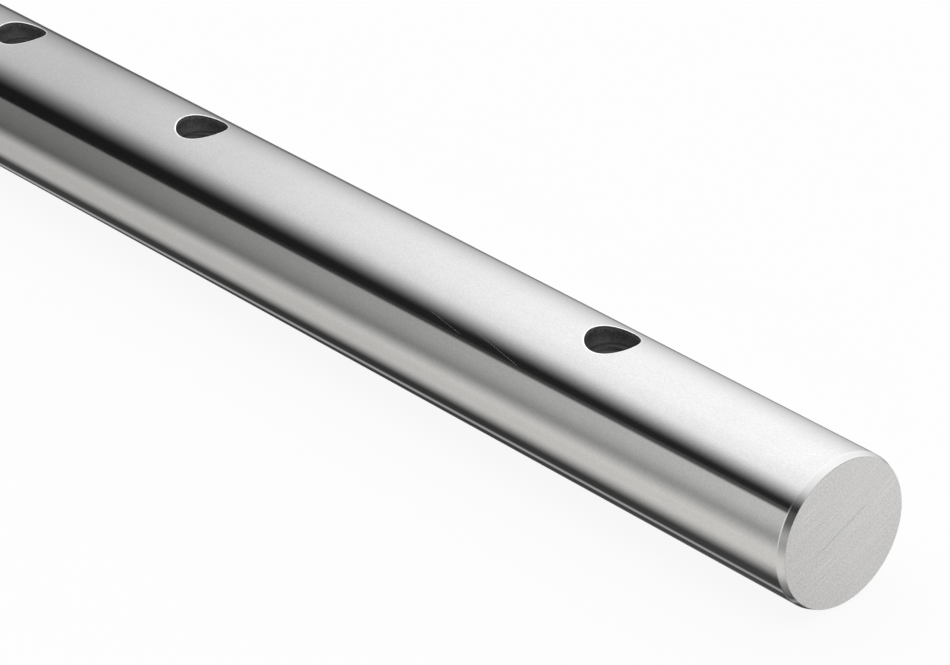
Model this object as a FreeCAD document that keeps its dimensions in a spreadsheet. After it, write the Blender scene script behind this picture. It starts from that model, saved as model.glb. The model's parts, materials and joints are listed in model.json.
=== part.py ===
import FreeCAD, Part
import math
import os
import Sketcher

# A ground steel shaft for linear bearings, lying along X with its axis through the origin.
# It is one solid bar, with sawn ends, lead-in chamfers and a row of blind tapped holes along its top.
# Each hole is opened out at its mouth, through the hardened skin, and its rim is deburred.

Vector = FreeCAD.Vector

# Driving dimensions: name, value in millimetres or degrees, and what it measures.
DIMENSIONS = [
    ("shaft_diameter", 25.0, "ground outside diameter"),
    ("shaft_length", 500.0, "overall length between the end faces"),
    ("chamfer_length", 1.2, "lead-in chamfer at each end, along the axis"),
    ("chamfer_angle", 20.0, "lead-in chamfer, degrees from the axis"),
    ("end_margin", 50.0, "end face to the first hole"),
    ("wide_pitch", 100.0, "first hole to the second"),
    ("narrow_pitch", 50.0, "second hole to the third"),
    ("relief_diameter", 8.6, "mouth of each hole, wider than its thread"),
    ("relief_depth", 3.2, "mouth of each hole, below the top of the shaft"),
    ("core_diameter", 6.8, "tapping drill for an M8 thread"),
    ("core_depth", 17.0, "full-width drilling, below the top of the shaft"),
    ("point_angle", 118.0, "cone left by the drill's point"),
    ("rim_chamfer", 0.3, "deburred rim of each hole"),
    ("drill_approach", 2.0, "height above the shaft where each drill starts"),
]
RADIUS = "dimensions.shaft_diameter / 2"
HALF_LENGTH = "dimensions.shaft_length / 2"
CHAMFER_DROP = "dimensions.chamfer_length * tan(dimensions.chamfer_angle * 1deg)"
END_RADIUS = f"{RADIUS} - {CHAMFER_DROP}"


def make_sheet(doc):
    """The spreadsheet that every feature takes its sizes from."""
    sheet = doc.addObject("Spreadsheet::Sheet", "dimensions")
    for row, (alias, value, meaning) in enumerate(DIMENSIONS, start=1):
        sheet.set(f"A{row}", meaning)
        sheet.set(f"B{row}", str(value))
        sheet.setAlias(f"B{row}", alias)
    doc.recompute()
    return sheet


def origin_plane(body, role):
    """One of the body's own base planes, such as XY_Plane."""
    return next(feature for feature in body.Origin.OriginFeatures if feature.Role == role)


def new_sketch(body, name, role):
    """A sketch that lies on one of the body's base planes."""
    sketch = body.newObject("Sketcher::SketchObject", name)
    sketch.AttachmentSupport = (origin_plane(body, role), [""])
    sketch.MapMode = "FlatFace"
    return sketch


def drive(sketch, name, constraint, expression):
    """Adds a dimension to a sketch and ties it to the spreadsheet."""
    index = sketch.addConstraint(constraint)
    sketch.renameConstraint(index, name)
    sketch.setExpression(f"Constraints.{name}", expression)


def turn_bar(body, sheet):
    """Revolves the bar's half section, chamfers included, about the X axis."""
    sketch = new_sketch(body, "bar_section", "XZ_Plane")
    half, radius = sheet.shaft_length / 2, sheet.shaft_diameter / 2
    chamfer = sheet.chamfer_length
    end_radius = radius - chamfer * math.tan(math.radians(sheet.chamfer_angle))
    corners = [
        Vector(-half, 0, 0),
        Vector(-half, end_radius, 0),
        Vector(-half + chamfer, radius, 0),
        Vector(half - chamfer, radius, 0),
        Vector(half, end_radius, 0),
        Vector(half, 0, 0),
    ]
    axis_line, left_end, left_chamfer, side, right_chamfer, right_end = range(6)
    sketch.addGeometry(Part.LineSegment(corners[-1], corners[0]), False)
    for start, end in zip(corners, corners[1:]):
        sketch.addGeometry(Part.LineSegment(start, end), False)
    first, last, origin, x_axis = 1, 2, (-1, 1), -1
    outline = [axis_line, left_end, left_chamfer, side, right_chamfer, right_end]
    for line, following in zip(outline, outline[1:] + outline[:1]):
        sketch.addConstraint(Sketcher.Constraint("Coincident", line, last, following, first))
    sketch.addConstraint(Sketcher.Constraint("Horizontal", side))
    sketch.addConstraint(Sketcher.Constraint("Vertical", left_end))
    sketch.addConstraint(Sketcher.Constraint("Vertical", right_end))
    sketch.addConstraint(Sketcher.Constraint("PointOnObject", axis_line, first, x_axis))
    sketch.addConstraint(Sketcher.Constraint("PointOnObject", axis_line, last, x_axis))
    right_reach = Sketcher.Constraint("DistanceX", *origin, axis_line, first, half)
    drive(sketch, "right_reach", right_reach, HALF_LENGTH)
    left_reach = Sketcher.Constraint("DistanceX", axis_line, last, *origin, half)
    drive(sketch, "left_reach", left_reach, HALF_LENGTH)
    side_height = Sketcher.Constraint("DistanceY", *origin, side, first, radius)
    drive(sketch, "radius", side_height, RADIUS)
    for name, tip, chamfer_line in (
        ("left", (left_end, last), left_chamfer),
        ("right", (right_end, first), right_chamfer),
    ):
        end_size = Sketcher.Constraint("DistanceY", *origin, *tip, end_radius)
        drive(sketch, f"{name}_end_radius", end_size, END_RADIUS)
        run = Sketcher.Constraint("DistanceX", chamfer_line, first, chamfer_line, last, chamfer)
        drive(sketch, f"{name}_chamfer_length", run, "dimensions.chamfer_length")
    bar = body.newObject("PartDesign::Revolution", "bar")
    bar.Profile = sketch
    bar.ReferenceAxis = (sketch, ["H_Axis"])
    bar.Angle = 360.0
    body.Document.recompute()
    return bar


def drill_holes(body, sheet):
    """Drills the three holes of one half from above and mirrors them to the other half."""
    layout = new_sketch(body, "hole_layout", "XY_Plane")
    layout.setExpression("AttachmentOffset.Base.z", f"{RADIUS} + dimensions.drill_approach")
    first_hole = "dimensions.shaft_length / 2 - dimensions.end_margin"
    second_hole = f"{first_hole} - dimensions.wide_pitch"
    third_hole = f"{second_hole} - dimensions.narrow_pitch"
    centre, origin, x_axis = 3, (-1, 1), -1
    station = sheet.shaft_length / 2 - sheet.end_margin
    for number, place in enumerate((first_hole, second_hole, third_hole)):
        circle = Part.Circle(Vector(station, 0, 0), Vector(0, 0, 1), sheet.core_diameter / 2)
        layout.addGeometry(circle, False)
        layout.addConstraint(Sketcher.Constraint("PointOnObject", number, centre, x_axis))
        width = Sketcher.Constraint("Diameter", number, sheet.core_diameter)
        drive(layout, f"core_{number + 1}", width, "dimensions.core_diameter")
        spot = Sketcher.Constraint("DistanceX", *origin, number, centre, station)
        drive(layout, f"station_{number + 1}", spot, place)
        station -= sheet.wide_pitch if number == 0 else sheet.narrow_pitch
    body.Document.recompute()

    holes = body.newObject("PartDesign::Hole", "tapped_holes")
    holes.Profile = layout
    body.Document.recompute()
    holes.ThreadType = "None"
    holes.DepthType = "Dimension"
    holes.DrillPoint = "Angled"
    holes.HoleCutType = "Counterbore"
    holes.setExpression("Diameter", "dimensions.core_diameter")
    holes.setExpression("Depth", "dimensions.core_depth + dimensions.drill_approach")
    holes.setExpression("DrillPointAngle", "dimensions.point_angle")
    holes.setExpression("HoleCutDiameter", "dimensions.relief_diameter")
    holes.setExpression("HoleCutDepth", "dimensions.relief_depth + dimensions.drill_approach")
    body.Document.recompute()

    both_halves = body.newObject("PartDesign::Mirrored", "both_halves")
    both_halves.Originals = [holes]
    both_halves.MirrorPlane = (origin_plane(body, "YZ_Plane"), [""])
    body.Tip = both_halves
    body.Document.recompute()
    return both_halves


def deburr(body, sheet, drilled):
    """Breaks the sharp rim where each hole meets the ground surface."""
    meeting = {round(sheet.shaft_diameter / 2, 6), round(sheet.relief_diameter / 2, 6)}

    def walls(edge):
        faces = drilled.Shape.ancestorsOfType(edge, Part.Face)
        return {round(face.Surface.Radius, 6) for face in faces if isinstance(face.Surface, Part.Cylinder)}

    # A rim is two edges, one each side of the shaft's top. One is named, and the chamfer runs on round.
    rims = [
        f"Edge{number}"
        for number, edge in enumerate(drilled.Shape.Edges, start=1)
        if walls(edge) == meeting and edge.CenterOfMass.y > 0
    ]
    rim = body.newObject("PartDesign::Chamfer", "deburred_rims")
    rim.Base = (drilled, rims)
    rim.setExpression("Size", "dimensions.rim_chamfer")
    body.Tip = rim
    body.Document.recompute()
    return rim


def build():
    """Makes the document, checks it and writes the shaft's solid."""
    doc = FreeCAD.newDocument("linear_shaft")
    sheet = make_sheet(doc)
    shaft = doc.addObject("PartDesign::Body", "shaft")
    shaft.Label = "shaft"
    turn_bar(shaft, sheet)
    drilled = drill_holes(shaft, sheet)
    deburr(shaft, sheet, drilled)
    doc.recompute()

    failed = [item.Label for item in doc.Objects if {"Invalid", "Error"} & set(item.State)]
    if failed:
        raise RuntimeError(f"these features failed: {failed}")
    if shaft.Shape.isNull() or not shaft.Shape.isValid():
        raise RuntimeError("the shaft's solid is not valid")
    os.makedirs("parts", exist_ok=True)
    shaft.Shape.exportStep(f"parts/{shaft.Label}.step")
    box = shaft.Shape.BoundBox
    print(f"{shaft.Label}: {box.XLength:.3f} x {box.YLength:.3f} x {box.ZLength:.3f} mm")
    print(f"{shaft.Label}: {shaft.Shape.Volume:.1f} mm3")


build()
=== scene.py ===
# %% [markdown]
# A polished linear shaft
#
# This lesson dresses one steel bar. Linear bearings run along its ground outside, so the real bar is
# straight, round and almost a mirror, and nearly everything we see on it is a reflection.
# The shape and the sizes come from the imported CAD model. Blender adds a finer mesh, the threads,
# the finishes, and a small studio for the steel to reflect.

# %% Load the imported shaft
import json
import math

import bmesh
import bpy
from mathutils import Matrix, Vector


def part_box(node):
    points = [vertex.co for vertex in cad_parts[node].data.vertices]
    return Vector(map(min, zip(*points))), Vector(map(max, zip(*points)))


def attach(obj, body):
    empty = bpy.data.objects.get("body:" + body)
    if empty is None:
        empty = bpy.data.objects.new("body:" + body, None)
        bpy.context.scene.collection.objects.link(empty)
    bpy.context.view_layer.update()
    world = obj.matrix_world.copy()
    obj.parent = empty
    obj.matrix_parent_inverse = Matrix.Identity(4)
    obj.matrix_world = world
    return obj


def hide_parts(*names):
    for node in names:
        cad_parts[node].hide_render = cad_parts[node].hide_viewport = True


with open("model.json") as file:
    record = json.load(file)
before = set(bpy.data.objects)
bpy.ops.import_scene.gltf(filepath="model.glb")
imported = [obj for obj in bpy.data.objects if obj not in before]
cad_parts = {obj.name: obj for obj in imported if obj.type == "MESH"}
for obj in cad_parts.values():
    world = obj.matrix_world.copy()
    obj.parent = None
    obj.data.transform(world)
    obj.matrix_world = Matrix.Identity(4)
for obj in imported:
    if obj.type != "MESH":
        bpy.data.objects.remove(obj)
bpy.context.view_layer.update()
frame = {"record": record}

# %% [markdown]
# Sizes
#
# Typing the sizes again would let the picture drift away from the CAD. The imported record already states
# the shaft's radius and where each tapped hole is, so they are read from there. Only what the record
# doesn't state, such as a chamfer, is named here, in metres.

# %% Read the sizes
CHAMFER_ANGLE = math.radians(20)
low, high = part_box("shaft")
mounts = frame["record"]["mounts"]
tapped = [m for m in mounts if m["kind"] == "threaded_hole"]
radius = next(m["dims"]["r_mm"] for m in mounts if m["kind"] == "pin") / 1000
half_length = high.x
hole_places = sorted(m["pos_m"][0] for m in tapped)
core_radius = tapped[0]["dims"]["r_mm"] / 1000
chamfer_length = 0.0012
end_radius = radius - chamfer_length * math.tan(CHAMFER_ANGLE)
mouth_radius = 0.0043
mouth_depth = 0.0032
core_depth = 0.0170
print(f"radius {radius}, half length {half_length}, holes at {[round(x, 4) for x in hole_places]}")

# %% [markdown]
# The ground outside, laid out flat
#
# A round hole in a round bar is awkward to cut cleanly: a Boolean leaves thin triangles, and a mirror shows
# every one of them. So the strip along the top is drawn flat, as if the bar's skin were unrolled.
# It is a row of cells: a square one round each hole, and a plain one for each stretch between them.

# %% Start the strip
# The finishes, in the order of the bar's material slots. A new face has the first.
GROUND, CUT, TURNED, DRILLED, RIM = range(5)
STEP = math.radians(3)
STRIP_STEPS = 24
half_strip = radius * STEP * STRIP_STEPS / 2
bar = bmesh.new()


def pick(geometry, kind):
    """The vertices, the edges or the faces out of what an operator made."""
    return [item for item in geometry if isinstance(item, kind)]


def give_finish(faces, finish):
    """Says which finish some faces will have."""
    for face in faces:
        face.material_index = finish


def plain_cell(start, end):
    """A flat stretch of the strip, from one place along the bar to another."""
    size = Matrix.Diagonal((end - start, 2 * half_strip, 1, 1))
    centre = Matrix.Translation(((start + end) / 2, 0, 0))
    bmesh.ops.create_grid(bar, x_segments=1, y_segments=STRIP_STEPS, size=1 / 2, matrix=centre @ size)


print(f"the strip is {2000 * half_strip:.2f} mm wide, in {STRIP_STEPS} steps")

# %% [markdown]
# A cell with a hole
#
# Bridging a circle to the border of a square cell gives tidy rows of quads, where filling the gap in one go
# would give long triangles. Extruding the circle inwards then gives the ring round the hole that the
# deburring tool rubs bright. The circle is drawn a little wide, so that it comes out round once rolled.

# %% Draw the cells
RIM_BEVEL = 0.00013
RUBBED_RING = 0.00010
ROWS_ROUND_HOLE = 4
SAME_PLACE = 1e-7
ring_radius = mouth_radius + RIM_BEVEL + RUBBED_RING


def once(items):
    """Each item only once, in the order they came, which a set would change from run to run."""
    return list(dict.fromkeys(items))


def hole_cell(place):
    """A square cell with a round hole: its border and the rubbed ring, bridged, and the hole's rim inside."""
    centre = Matrix.Translation((place, 0, 0))
    square = bmesh.ops.create_grid(bar, x_segments=STRIP_STEPS, y_segments=STRIP_STEPS, size=half_strip,
                                   matrix=centre)["verts"]
    inside = [v for v in square if not v.is_boundary]
    border = once(e for v in square for e in v.link_edges if e.is_boundary)
    bmesh.ops.delete(bar, geom=inside, context="VERTS")
    ring = bmesh.ops.create_circle(bar, segments=4 * STRIP_STEPS, radius=ring_radius, matrix=centre)["verts"]
    for v in ring:
        v.co.y = radius * math.asin(v.co.y / radius)
    circle = once(e for v in ring for e in v.link_edges)
    bridge = bmesh.ops.bridge_loops(bar, edges=border + circle)
    bmesh.ops.subdivide_edges(bar, edges=bridge["edges"], cuts=ROWS_ROUND_HOLE)
    shrink = mouth_radius / ring_radius
    rubbed = bmesh.ops.extrude_edge_only(bar, edges=circle)["geom"]
    for v in pick(rubbed, bmesh.types.BMVert):
        v.co.x = place + (v.co.x - place) * shrink
        v.co.y = radius * math.asin(math.sin(v.co.y / radius) * shrink)
    give_finish(pick(rubbed, bmesh.types.BMFace), RIM)


reached = -half_length + chamfer_length
for place in hole_places:
    plain_cell(reached, place - half_strip)
    hole_cell(place)
    reached = place + half_strip
plain_cell(reached, half_length - chamfer_length)
bmesh.ops.remove_doubles(bar, verts=bar.verts, dist=SAME_PLACE)
print(f"strip: {len(bar.faces)} faces")

# %% [markdown]
# Rolling it up
#
# The strip's width becomes an angle round the bar, which puts every point exactly on it. The rest of the bar
# is plain, so one long edge of the strip is spun about the axis until it meets the other. That needs no more
# points than the strip has.

# %% Roll the strip and spin the rest
for v in bar.verts:
    roll = v.co.y / radius
    v.co = (v.co.x, radius * math.sin(roll), radius * math.cos(roll))
side = radius * math.sin(STEP * STRIP_STEPS / 2)
seam = [e for e in bar.edges if all(abs(v.co.y - side) < SAME_PLACE for v in e.verts)]
spin_steps = round(2 * math.pi / STEP) - STRIP_STEPS
bmesh.ops.spin(bar, geom=seam, axis=(-1, 0, 0), cent=(0, 0, 0), angle=spin_steps * STEP, steps=spin_steps)
bmesh.ops.remove_doubles(bar, verts=bar.verts, dist=SAME_PLACE)
print(f"rolled bar: {len(bar.faces)} faces")

# %% [markdown]
# The ends
#
# Each end has a shallow lead-in chamfer, so that a bearing slides on without catching, and a plain cut face.
# A bevel could make the chamfer, but extruding the open edge gives it its exact length and angle, and the
# ring that is then left open is filled. A small bevel on the two corners catches a line of light, as the
# corners of real turned steel do.

# %% Close the ends
SHOULDER = 0.00018
CORNER = 0.00006
BEVEL_STEPS = 3


def round_off(edges, width):
    """Bevels some edges of the bar, and gives the new faces."""
    return bmesh.ops.bevel(bar, geom=edges, offset=width, offset_type="OFFSET", segments=BEVEL_STEPS,
                           profile=0.5, affect="EDGES", material=-1)["faces"]


def close_end(sign):
    """Adds the chamfer and the cut face to one end of the bar."""
    limit = half_length - 2 * chamfer_length
    shoulder = [e for e in bar.edges if e.is_boundary and e.verts[0].co.x * sign > limit]
    grown = bmesh.ops.extrude_edge_only(bar, edges=shoulder)["geom"]
    tip = pick(grown, bmesh.types.BMVert)
    bmesh.ops.scale(bar, vec=(1, end_radius / radius, end_radius / radius), verts=tip)
    bmesh.ops.translate(bar, vec=(sign * chamfer_length, 0, 0), verts=tip)
    give_finish(pick(grown, bmesh.types.BMFace), TURNED)
    corner = [e for e in pick(grown, bmesh.types.BMEdge) if e.is_boundary]
    give_finish(bmesh.ops.holes_fill(bar, edges=corner, sides=0)["faces"], CUT)
    round_off(corner, CORNER)
    give_finish(round_off(shoulder, SHOULDER), TURNED)


close_end(1)
close_end(-1)
print(f"with ends: {len(bar.faces)} faces")

# %% [markdown]
# The holes
#
# Each hole starts with a plain mouth, a little wider than the thread, then steps in to the threaded wall,
# and ends in the cone that a drill's point leaves. Extruding the rim step by step follows the way it is cut.
# A small step just before the cone's tip keeps smooth shading from turning the cone into a bowl.
# The rim itself is bevelled last: it is deburred on the real bar, and shows as a thin bright ring.

# %% Sink the holes
THREAD_RADIUS = 0.0040
RUN_OUT = 0.0025
HALF_POINT = math.radians(59)
CHISEL_EDGE = 0.00012
floor_of_mouth = radius - mouth_depth
end_of_core = radius - core_depth
end_of_thread = end_of_core + RUN_OUT
tip_of_drill = end_of_core - core_radius / math.tan(HALF_POINT)
wall_steps = [
    (mouth_radius, floor_of_mouth),
    (THREAD_RADIUS, floor_of_mouth),
    (THREAD_RADIUS, end_of_thread),
    (core_radius, end_of_thread - (THREAD_RADIUS - core_radius)),
    (core_radius, end_of_core),
    (CHISEL_EDGE, tip_of_drill + CHISEL_EDGE / math.tan(HALF_POINT)),
    (0.0, tip_of_drill),
]


def sink_hole(place):
    """Extrudes one hole's rim down through its steps and bevels the rim."""
    rim = [e for e in bar.edges if e.is_boundary and abs(e.verts[0].co.x - place) < half_strip]
    ring, reach = rim, mouth_radius
    for step_radius, height in wall_steps:
        grown = bmesh.ops.extrude_edge_only(bar, edges=ring)["geom"]
        lowest = pick(grown, bmesh.types.BMVert)
        for v in lowest:
            v.co.x = place + (v.co.x - place) * step_radius / reach
            v.co.y *= step_radius / reach
            v.co.z = height
        give_finish(pick(grown, bmesh.types.BMFace), DRILLED)
        ring = [e for e in pick(grown, bmesh.types.BMEdge) if e.is_boundary]
        reach = step_radius or reach
    bmesh.ops.remove_doubles(bar, verts=lowest, dist=SAME_PLACE)
    give_finish(round_off(rim, RIM_BEVEL), RIM)


for place in hole_places:
    sink_hole(place)
bmesh.ops.recalc_face_normals(bar, faces=bar.faces)
print(f"with holes: {len(bar.faces)} faces, open edges {sum(e.is_boundary for e in bar.edges)}")

# %% [markdown]
# The threads
#
# An inside thread is a helical ridge on the hole's wall. A bump could only paint it, so it is modelled: one
# section of the ridge is drawn as a small four-cornered face and spun upwards a little at every step, which
# is what a tap does in reverse. Near the top the ridge is cut back to a cone, the lead-in that lets a screw
# start. Where the cone swallows the whole ridge its faces have no thickness left, so they are taken out.

# %% Cut one thread
PITCH = 0.00125
OVERLAP = 0.00008
TURN_STEPS = 40
ROOT_HALF = 0.00056
CREST_HALF = 0.000156
CREST_PROUD = 0.000075
TOP_GAP = 0.00002
root = THREAD_RADIUS + OVERLAP
crest = core_radius - CREST_PROUD
ridge = [(root, -ROOT_HALF), (root, ROOT_HALF), (crest, CREST_HALF), (crest, -CREST_HALF)]
turns = int((floor_of_mouth - end_of_thread) / PITCH)
start = Vector((0, 0, end_of_thread + PITCH / 2))
thread = bmesh.new()
section = thread.faces.new([thread.verts.new(start + Vector((r, 0, z))) for r, z in ridge])
bmesh.ops.spin(thread, geom=[section], axis=(0, 0, 1), cent=(0, 0, 0), dvec=(0, 0, PITCH / TURN_STEPS),
               angle=turns * 2 * math.pi, steps=turns * TURN_STEPS)
for v in thread.verts:
    out = Vector((v.co.x, v.co.y))
    lead_in = root - max(floor_of_mouth - v.co.z, 0)
    if out.length < lead_in:
        out *= lead_in / out.length
    v.co = (out.x, out.y, min(v.co.z, floor_of_mouth - TOP_GAP))
bmesh.ops.remove_doubles(thread, verts=thread.verts, dist=SAME_PLACE)
swallowed = [f for f in thread.faces if any(e.is_boundary for e in f.edges)]
bmesh.ops.delete(thread, geom=swallowed, context="FACES")
bmesh.ops.delete(thread, geom=[v for v in thread.verts if not v.link_faces], context="VERTS")
give_finish(thread.faces, DRILLED)
bmesh.ops.recalc_face_normals(thread, faces=thread.faces)
print(f"one thread: {turns} turns, {len(thread.faces)} faces,",
      f"open edges {sum(not e.is_manifold for e in thread.edges)}")

# %% [markdown]
# The same thread in every hole
#
# Spinning gets slow in a big mesh, so the thread was made by itself. All six holes are tapped alike, and
# copying the one thread into each of them takes no time.

# %% Copy the thread into the holes
thread_mesh = bpy.data.meshes.new("thread")
thread.to_mesh(thread_mesh)
thread.free()
moved = 0.0
for place in hole_places:
    thread_mesh.transform(Matrix.Translation((place - moved, 0, 0)))
    moved = place
    bar.from_mesh(thread_mesh)
bpy.data.meshes.remove(thread_mesh)
for face in bar.faces:
    face.smooth = True
print(f"with threads: {len(bar.faces)} faces")

# %% [markdown]
# One object
#
# The whole bar is one piece of steel, so it becomes one object. It stands for the CAD solid in the picture
# and lies where that lies, with its place in its mesh. Extruding lists its new faces in an order that changes
# from run to run, so the faces are sorted first, and every run gives the same list.

# %% Make the shaft's object
bar.verts.index_update()
point_count = len(bar.verts)


def rank(face):
    """A number for a face's place in the list, from its three earliest points."""
    first, second, third = sorted(v.index for v in face.verts)[:3]
    return (first * point_count + second) * point_count + third


bar.faces.sort(key=rank)
mesh = bpy.data.meshes.new("polished_shaft")
bar.to_mesh(mesh)
bar.free()
shaft = bpy.data.objects.new("polished_shaft", mesh)
bpy.context.scene.collection.objects.link(shaft)
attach(shaft, "root")
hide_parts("shaft")
print(f"{shaft.name}: {len(mesh.vertices)} points,",
      f"{sum(len(p.vertices) - 2 for p in mesh.polygons)} triangles")

# %% [markdown]
# Exact normals
#
# Smooth shading guesses each point's normal from the faces round it. On a mirror even a small error bends
# the reflected lines, so the points on the ground outside are given the true normal, straight out from the
# axis, and those on the chamfers the cone's. Every other corner keeps Blender's own, split at sharp edges.

# %% Set the normals
CREASE = math.radians(30)
ON_SURFACE = 2e-7
chamfer_slope = (radius - end_radius) / chamfer_length


def true_normal(point, finish, guess):
    """The exact normal where a point lies on the ground outside or on a chamfer, and Blender's elsewhere."""
    out = Vector((0, point.y, point.z))
    past = abs(point.x) - (half_length - chamfer_length)
    if abs(out.length - radius) < ON_SURFACE and past < SAME_PLACE and finish != DRILLED:
        return out.normalized()
    if finish == TURNED and past > 0 and abs(radius - out.length - past * chamfer_slope) < ON_SURFACE:
        return (out.normalized() + Vector((math.copysign(chamfer_slope, point.x), 0, 0))).normalized()
    return guess


beside = {}
for polygon in mesh.polygons:
    for key in polygon.edge_keys:
        beside.setdefault(key, []).append(polygon.normal)
for edge in mesh.edges:
    facing = beside[edge.key]
    edge.use_edge_sharp = len(facing) == 2 and facing[0].angle(facing[1], 0) > CREASE
normals = [Vector(n.vector) for n in mesh.corner_normals]
for polygon in mesh.polygons:
    for loop in polygon.loop_indices:
        point = mesh.vertices[mesh.loops[loop].vertex_index].co
        normals[loop] = true_normal(point, polygon.material_index, normals[loop])
mesh.normals_split_custom_set(normals)
print(f"sharp edges: {sum(e.use_edge_sharp for e in mesh.edges)}, normals set: {len(normals)}")

# %% [markdown]
# A short way to write shaders
#
# Node trees grow hard to read as soon as they hold some arithmetic. Here a value that comes out of a node
# is wrapped so that Python's own signs add the Math nodes, and every other node comes from one method.

# %% A value in sums
class Wire:
    """A value that comes out of a node, and can be used in sums."""

    def __init__(self, tree, socket):
        self.tree, self.socket = tree, socket

    def math(self, operation, *values):
        """A Math node on some values."""
        return self.tree.node("ShaderNodeMath", {"operation": operation}, dict(enumerate(values)))

    def __add__(self, other):
        return self.math("ADD", self, other)

    def __sub__(self, other):
        return self.math("SUBTRACT", self, other)

    def __rsub__(self, other):
        return self.math("SUBTRACT", other, self)

    def __mul__(self, other):
        return self.math("MULTIPLY", self, other)

    __radd__ = __add__
    __rmul__ = __mul__

    def size(self):
        return self.math("ABSOLUTE", self)

    def rise(self, start, end, kind="SMOOTHSTEP"):
        """Climbs softly from 0 to 1 between two values, or falls where the first is the larger."""
        places = {"Value": self, "From Min": start, "From Max": end}
        return self.tree.node("ShaderNodeMapRange", {"interpolation_type": kind}, places)

    def band(self, start, full, fading, end):
        """A soft-edged band: 0 up to start, 1 from full to fading, and 0 again from end."""
        return self.rise(start, full) * self.rise(end, fading)


print("sums ready")

# %% The node tree
MIX_FACTOR, MIX_FIRST, MIX_SECOND = 0, 6, 7
MIX_COLOUR = 2


class Tree:
    """A node tree, and the one method that adds nodes to it."""

    def __init__(self, owner):
        owner.use_nodes = True
        self.nodes, self.links = owner.node_tree.nodes, owner.node_tree.links
        self.nodes.clear()

    def node(self, kind, settings=None, sockets=None, output=0):
        """Adds a node, sets its settings and then its sockets, and gives one of its outputs."""
        made = self.nodes.new(kind)
        for name, value in (settings or {}).items():
            setattr(made, name, value)
        for name, value in (sockets or {}).items():
            if isinstance(value, Wire):
                self.links.new(value.socket, made.inputs[name])
            else:
                made.inputs[name].default_value = value
        return Wire(self, made.outputs[output]) if made.outputs else made

    def parts(self, vector):
        """The three numbers of a vector."""
        made = self.node("ShaderNodeSeparateXYZ", {}, {0: vector}).socket.node
        return [Wire(self, out) for out in made.outputs]

    def vector(self, x, y, z):
        return self.node("ShaderNodeCombineXYZ", {}, {0: x, 1: y, 2: z})

    def noise(self, vector, scale=1.0, detail=2.0, roughness=0.5):
        places = {"Vector": vector, "Scale": scale, "Detail": detail, "Roughness": roughness}
        return self.node("ShaderNodeTexNoise", {}, places)

    def shades(self, amount, dark, light):
        """A colour between two, by an amount from 0 to 1."""
        places = {MIX_FACTOR: amount, MIX_FIRST: (*dark, 1), MIX_SECOND: (*light, 1)}
        return self.node("ShaderNodeMix", {"data_type": "RGBA"}, places, output=MIX_COLOUR)


print("node trees ready")

# %% [markdown]
# Steel in general
#
# All the finishes on the bar are the same steel, cut in different ways. Five materials written out in full
# would repeat the metal five times, so one function makes it, and each finish only gives the inputs that
# differ, such as its colour, and a fine relief in metres.

# %% Make a steel finish
def steel(name, describe):
    """A steel material; describe gets the tree and the place on the bar, and gives inputs and relief."""
    material = bpy.data.materials.new(name)
    tree = Tree(material)
    place = tree.node("ShaderNodeTexCoord", output="Object")
    inputs, relief = describe(tree, place)
    normal = tree.node("ShaderNodeBump", {}, {"Height": relief, "Strength": 1.0, "Distance": 1.0})
    skin = tree.node("ShaderNodeBsdfPrincipled", {}, {"Metallic": 1.0, "Normal": normal, **inputs})
    tree.node("ShaderNodeOutputMaterial", {}, {"Surface": skin})
    mesh.materials.append(material)
    print("finish:", material.name)


# %% [markdown]
# The ground outside
#
# Centreless grinding and polishing leave hair-fine rings round the bar, far too fine to see one by one: they
# only break up the reflections a little. A picture of brushed steel would need unwrapping and would repeat.
# Noise that is squeezed along the bar and drawn out round it does neither, and a fine mottle keeps the sheen
# from being even. Handling adds a few hairline scratches. A scratch is rough, so it glints where the bar
# reflects the dark and dulls it where it reflects a light.

# %% A hairline scratch
MM = 0.001
HAIR = 0.018 * MM
# Start and end of each: place along the bar, and distance round it from the top towards the front.
HAIRLINES = [
    (168.6 * MM, 10.8 * MM, 177.0 * MM, 11.9 * MM),
    (178.7 * MM, 10.3 * MM, 190.3 * MM, 12.1 * MM),
    (112.0 * MM, 6.8 * MM, 118.6 * MM, 8.6 * MM),
]


def hairline(x, around, scratch):
    """1 on one straight scratch and 0 elsewhere, with ends that fade."""
    start_x, start_arc, end_x, end_arc = scratch
    slope = (end_arc - start_arc) / (end_x - start_x)
    off = (around - x * slope - (start_arc - start_x * slope)).size()
    return off.rise(2 * HAIR, HAIR) * x.band(start_x, start_x + MM, end_x - MM, end_x)


print("hairlines:", len(HAIRLINES))

# %% Ground finish
def ground(tree, place):
    """Fine rings round the bar, a mottle and the scratches."""
    x, y, z = tree.parts(place)
    rings = tree.noise(tree.vector(x * 4000, y * 60, z * 60), detail=3)
    cloud = tree.noise(place, scale=160, detail=4)
    grain = tree.noise(place, scale=3300)
    around = x.math("ARCTAN2", y * -1, z) * radius
    scratches = [hairline(x, around, scratch) for scratch in HAIRLINES]
    scratched = sum(scratches[1:], scratches[0])
    mottle = cloud * 0.2 + grain * 0.82 + rings * 0.15 - 0.085
    colour = tree.shades(mottle, dark=(0.466, 0.465, 0.465), light=(0.676, 0.675, 0.674))
    roughness = 0.045 + cloud * 0.02 + grain * 0.02 + scratched * 0.25
    relief = rings * 1.5e-7 + grain * 1.0e-7
    return {"Base Color": colour, "Roughness": roughness}, relief


steel("ground_steel", ground)

# %% [markdown]
# The cut ends
#
# The end was sawn and lightly ground, so it is a dull, even grey with straight marks across it, all running
# one way. The marks are noise again, drawn out along one slanting direction of the face, with a fine speckle
# over them. Its colour is painted a little darker towards the bottom, painted shade where the lower face gets
# less light. Two saw marks are left on it, a deep one that holds dirt and a shallow one that is bright.

# %% A saw mark
MARK_ANGLE = math.radians(26.3)
MARK_CLEAR, MARK_FULL = 0.06 * MM, 0.02 * MM
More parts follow.
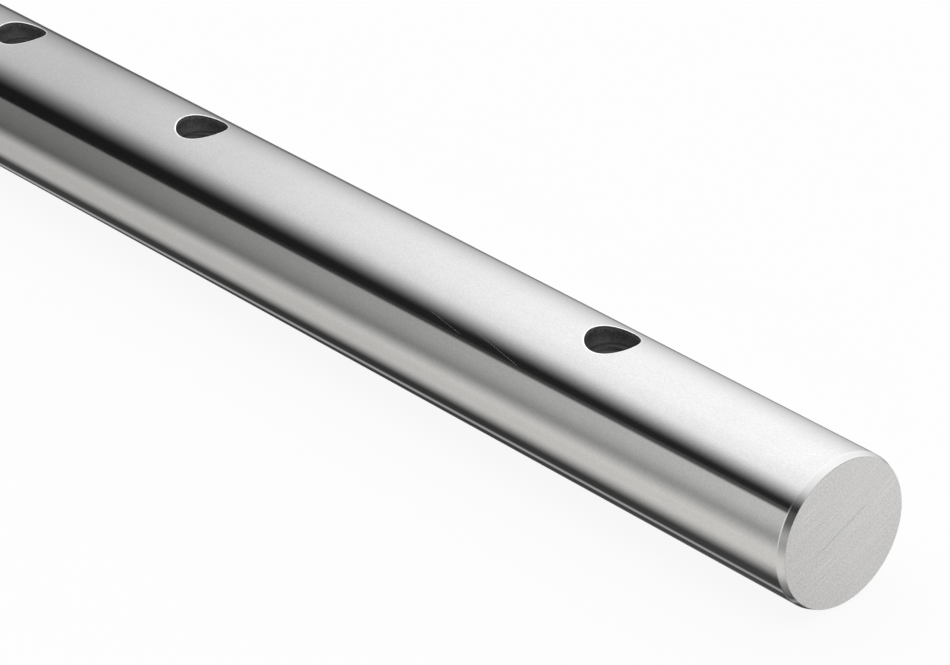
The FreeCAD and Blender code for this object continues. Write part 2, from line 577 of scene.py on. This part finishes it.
# Start and end of each along its own line, and the line's distance from the middle of the face.
DEEP_MARK = (-6.6 * MM, 5.5 * MM, 0.88 * MM)
BRIGHT_MARK = (-9.8 * MM, -2.9 * MM, -1.86 * MM)


def saw_mark(along, across, mark):
    """1 on one straight mark and 0 elsewhere, with ends that fade."""
    start, end, offset = mark
    line = (across - offset).size().rise(MARK_CLEAR, MARK_FULL)
    return line * along.band(start, start + MM, end - MM, end)


print("marks at", round(math.degrees(MARK_ANGLE), 1), "degrees")

# %% Cut finish
# Painted shade: the cut face's colour gets darker towards the bottom, by this much per metre of height.
PAINTED_SHADE_PER_METRE = 4


def cut(tree, place):
    """Slanting marks, a speckle, the two saw marks and painted shade towards the bottom."""
    x, y, z = tree.parts(place)
    along = y * math.cos(MARK_ANGLE) + z * math.sin(MARK_ANGLE)
    across = z * math.cos(MARK_ANGLE) - y * math.sin(MARK_ANGLE)
    marks = tree.noise(tree.vector(along * 140, across * 3600, x), detail=3, roughness=0.6)
    speckle = tree.noise(place, scale=3400)
    deep = saw_mark(along, across, DEEP_MARK)
    bright = saw_mark(along, across, BRIGHT_MARK)
    # The z term is painted shade: the face is painted darker towards its bottom.
    tone = marks * 0.45 + speckle * 0.75 - 0.10 - deep * 0.50 + bright * 0.28 + z * PAINTED_SHADE_PER_METRE
    colour = tree.shades(tone, dark=(0.35, 0.346, 0.339), light=(0.87, 0.864, 0.848))
    roughness = 0.46 + marks * 0.10
    relief = marks * 3.0e-6 + speckle * 1.5e-6 - deep * 1.0e-5
    return {"Base Color": colour, "Roughness": roughness}, relief


steel("cut_end", cut)

# %% [markdown]
# The turned chamfers
#
# A chamfer is turned on a lathe, so it has rings round it, as the outside does, but coarser ones, and it is
# less bright. The same squeezed noise makes them, with a rougher surface under it.

# %% Turned finish
def turned(tree, place):
    """Coarser rings round the bar."""
    x, y, z = tree.parts(place)
    rings = tree.noise(tree.vector(x * 9000, y * 40, z * 40), detail=3)
    colour = tree.shades(rings, dark=(0.54, 0.54, 0.54), light=(0.66, 0.66, 0.66))
    return {"Base Color": colour, "Roughness": 0.12 + rings * 0.08}, rings * 6.0e-7


steel("turned_chamfer", turned)

# %% [markdown]
# Inside the holes
#
# Little light comes back out of a hole, and the colour inside is set so that it reads as an even charcoal.
# The bare wall of the mouth is painted paler with depth, painted light where less light reaches it, with a
# faint ring just below the rim where the deburring tool stopped. The floor of the mouth and the first turns
# of the thread aren't metal in this material and their colour is near black, painted shade deep in the hole,
# and the clean thread shows only further down. The undersides of those first turns face into shade, so they
# are painted paler: painted light. A material for each zone would need hard borders between them. Here one
# does it all, by the height in the hole and by the surface's own normal.

# %% Drilled finish
def drilled(tree, place):
    """Charcoal at the mouth with painted light deeper down, painted shade and light under its floor, clean
    below.
    """
    x, y, z = tree.parts(place)
    depth = x.math("SQRT", radius * radius - y * y) - z
    rings = tree.noise(tree.vector(x * 150, y * 150, z * 5000), detail=3)
    mottle = tree.noise(place, scale=900, detail=3)
    fleck = tree.noise(place, scale=3200, roughness=0.7)
    wall = z.rise(floor_of_mouth + 0.004 * MM, floor_of_mouth + 0.02 * MM)
    tool_ring = depth.band(0.40 * MM, 0.48 * MM, 0.56 * MM, 0.66 * MM)
    # Tone from the noises, plus painted light: deeper down, the mouth's wall is painted paler where less
    # light reaches.
    mottle_and_depth_light = rings * 0.15 + mottle * 0.4 + fleck - 0.38 + depth.rise(1.0 * MM, mouth_depth) * 0.6
    under_floor = z.rise(floor_of_mouth - 0.15 * MM, floor_of_mouth - 0.4 * MM)
    facing_up = tree.parts(tree.node("ShaderNodeTexCoord", output="Normal"))[2]
    # Painted light: faces that point down, into shade, are painted paler just under the floor of the mouth.
    painted_light_underside = facing_up.rise(0.4, -0.3)
    clean_thread = z.rise(floor_of_mouth - 1.7 * MM, floor_of_mouth - 2.3 * MM)
    # Under the floor of the mouth the colour is near black, painted shade deep in the hole, down to the clean
    # thread.
    amount = mottle_and_depth_light * (0.06 + under_floor * 0.09 + wall * 0.94) + tool_ring * 0.2 + clean_thread * 0.6
    amount = amount + painted_light_underside * under_floor * (1 - clean_thread) * 0.65
    colour = tree.shades(amount, dark=(0.02, 0.02, 0.02), light=(0.54, 0.54, 0.535))
    roughness = 0.50 + rings * 0.15 - clean_thread * 0.2
    return {"Base Color": colour, "Roughness": roughness, "Metallic": wall + clean_thread}, rings * 3.0e-6


steel("drilled_hole", drilled)

# %% [markdown]
# The rims of the holes
#
# The deburring tool cuts the rim last of all, so it is the brightest steel on the bar. A fine speckle in its
# colour and roughness keeps the thin ring from looking drawn on.

# %% Deburred finish
def deburred(tree, place):
    """Bright steel with a fine speckle."""
    speck = tree.noise(place, scale=3000, detail=3)
    colour = tree.shades(speck, dark=(0.84, 0.84, 0.838), light=(0.98, 0.98, 0.978))
    return {"Base Color": colour, "Roughness": 0.16 + speck * 0.1}, speck * 6.0e-7


steel("deburred_rim", deburred)

# %% [markdown]
# The table
#
# The bar lies on a pale table. Product photographers often use a table of white acrylic lit from below,
# which keeps shadows faint, so this one gives most of its light itself. The bar would show the table's
# reflection as one flat white, so its reflections come from the studio below instead.

# %% Lay the table
TABLE_HALF = 20.0
table_top = bmesh.new()
bmesh.ops.create_grid(table_top, x_segments=1, y_segments=1, size=TABLE_HALF,
                      matrix=Matrix.Translation((0, 0, low.z)))
table_mesh = bpy.data.meshes.new("table")
table_top.to_mesh(table_mesh)
table_top.free()
table = bpy.data.objects.new("table", table_mesh)
bpy.context.scene.collection.objects.link(table)
table.visible_glossy = False
acrylic = bpy.data.materials.new("lit_acrylic")
acrylic_tree = Tree(acrylic)
acrylic_skin = acrylic_tree.node("ShaderNodeBsdfPrincipled", {}, {
    "Base Color": (0.09, 0.09, 0.09, 1),
    "Roughness": 0.8,
    "Specular IOR Level": 0.0,
    "Emission Color": (1, 1, 1, 1),
    "Emission Strength": 0.905,
})
acrylic_tree.node("ShaderNodeOutputMaterial", {}, {"Surface": acrylic_skin})
table_mesh.materials.append(acrylic)
print("table at", round(low.z, 5))

# %% [markdown]
# The studio
#
# A mirror shows its surroundings, so the bands along the bar are the studio. Lamps and cards could be
# modelled and hung one by one. Here they are painted on the world instead, because all of them run along the
# bar, and each is then just a range of angles about its axis: 0 is the horizon behind, 90 straight up, 180
# the horizon in front and 270 straight down. They lie a little askew and are dimmer at the far end, so each
# has its edges and its brightness for the near end and for the far one.

# %% Measure directions round the bar
NEAR_LEAN, FAR_LEAN = -0.61, -0.735
world = bpy.data.worlds.new("studio")
bpy.context.scene.world = world
sky = Tree(world)
dx, dy, dz = sky.parts(sky.node("ShaderNodeTexCoord", output="Generated"))
angle = dx.math("ARCTAN2", dz, dy) * (180 / math.pi)
turn = angle.math("WRAP", angle, 360.0, 0.0)
far = dx.rise(NEAR_LEAN, FAR_LEAN, "LINEAR")
middle = far * (1 - far) * 4


def between(near_value, far_value):
    """A number that changes evenly from the near end to the far one."""
    return far * (far_value - near_value) + near_value


def panel(value, near_edges, near_light, far_edges, far_light):
    """One strip of light along the bar, from its edges and brightness at the near end and at the far one."""
    return value.band(*map(between, near_edges, far_edges)) * between(near_light, far_light)


print("directions run from", NEAR_LEAN, "at the near end to", FAR_LEAN, "at the far one")

# %% [markdown]
# What the front of the bar reflects
#
# From the top down: a big soft light overhead, a dark gap, the sill and the pale card below it, the bright
# table, the line of its edge, and the dim floor under it. Halfway along, the overhead light is a touch
# stronger and the line of the table's edge bows a little. Behind the bar the overhead light ends in a dark
# skirting, which draws the thin line along the bar's upper outline.

# %% Hang the front panels
overhead = panel(angle, near_edges=(-73, 56, 112, 142.5), near_light=1.59,
                 far_edges=(-58, 58, 100.5, 142.6), far_light=0.87)
skirting = angle.rise(between(-17, -5), between(-26, -14))
overhead = overhead * (1 - skirting * 0.5)
overhead = overhead * (1 + middle * 0.12) * (1 - angle.rise(80, 125) * 0.18)
sill = panel(turn, near_edges=(145.5, 149.5, 152, 154), near_light=0.09,
             far_edges=(153, 157, 159.5, 161.5), far_light=0.0)
card = panel(turn, near_edges=(151, 155, 164, 218), near_light=0.80,
             far_edges=(157.6, 162, 165, 254), far_light=0.25)
shine = panel(turn, near_edges=(185, 216, 225.5, 260.5), near_light=0.93,
              far_edges=(199, 224, 247, 270), far_light=0.64)
table_edge = panel(turn + middle * 3.5, near_edges=(273, 279.5, 280.5, 286.5), near_light=0.42,
                   far_edges=(286, 293, 296, 304), far_light=0.42)
under = panel(turn, near_edges=(225, 262, 330, 340), near_light=0.045,
              far_edges=(225, 272, 330, 340), far_light=0.055)
under = under * (1 - middle * 0.4)
print("front panels hung")

# %% [markdown]
# The rest of the studio
#
# The near end faces another part of the room. A large pale sheet stands low beyond it and lights the cut
# face, a narrow lamp at the side draws the bright line along the chamfer's upper edge, and a low glow fills
# the chamfer below. Beyond the near end the overhead light is dimmer and has a dark gap under it, with a card
# of its own, so that the bar has bands from the other sides too.

# %% Hang the others
aft = dx.rise(-0.3, 0.5)
overhead = overhead * (1 - aft * angle.rise(70, 38)) * (1 - dx.rise(-0.15, 0.3) * 0.35)
card = card * (1 - dx.rise(-0.5, -0.1) * turn.rise(186, 160) * 0.85)
back_card = aft * angle.band(-12, 4, 25, 29) * 0.5
low_sheet = dx.rise(-0.25, 0.25) * angle.band(-92, -48, -8, 10) * 1.13
side_lamp = dx.band(-0.60, -0.52, -0.32, -0.22) * turn.band(138, 152, 188, 212) * 0.5
low_glow = dx.rise(-0.55, -0.35) * turn.band(243, 255, 262, 272) * 0.15
haze = 0.028 - far * 0.012
print("other panels hung")

# %% [markdown]
# Light the room
#
# The lights simply add up. What the table and the card send back is slightly warm beside the lamps, so they
# get a touch less blue, and the table a little more red.

# %% Add up the lights
TABLE_RED, TABLE_BLUE, CARD_BLUE = 0.012, 0.03, 0.02
light = (overhead + sill + card + shine + table_edge + under
         + back_card + low_sheet + side_lamp + low_glow + haze)
warm = sky.vector(light + shine * TABLE_RED, light, light - shine * TABLE_BLUE - card * CARD_BLUE)
backdrop = sky.node("ShaderNodeBackground", {}, {"Color": warm, "Strength": 1.0})
sky.node("ShaderNodeOutputWorld", {}, {"Surface": backdrop})
print("studio lit, with", len(sky.nodes), "nodes")

# %% [markdown]
# The camera
#
# The place, the aim and the lens were found by fitting the bar's outlines and hole rims to the photograph.
# It is a long lens from a little under a metre away, so the bar narrows only slightly into the distance.
# The Standard view keeps the table white, where a filmic one would grey it.

# %% Place the camera
camera_data = bpy.data.cameras.new("camera")
camera_data.lens = 184.5
camera_data.sensor_width = 36.0
camera = bpy.data.objects.new("camera", camera_data)
bpy.context.scene.collection.objects.link(camera)
camera.location = (0.6766, -0.4454, 0.3567)
aim = Vector((0.16725, 0.00103, 0.0))
camera.rotation_euler = (aim - camera.location).to_track_quat("-Z", "Y").to_euler()
bpy.context.scene.camera = camera
bpy.context.scene.view_settings.view_transform = "Standard"
print("camera", [round(c, 4) for c in camera.location])
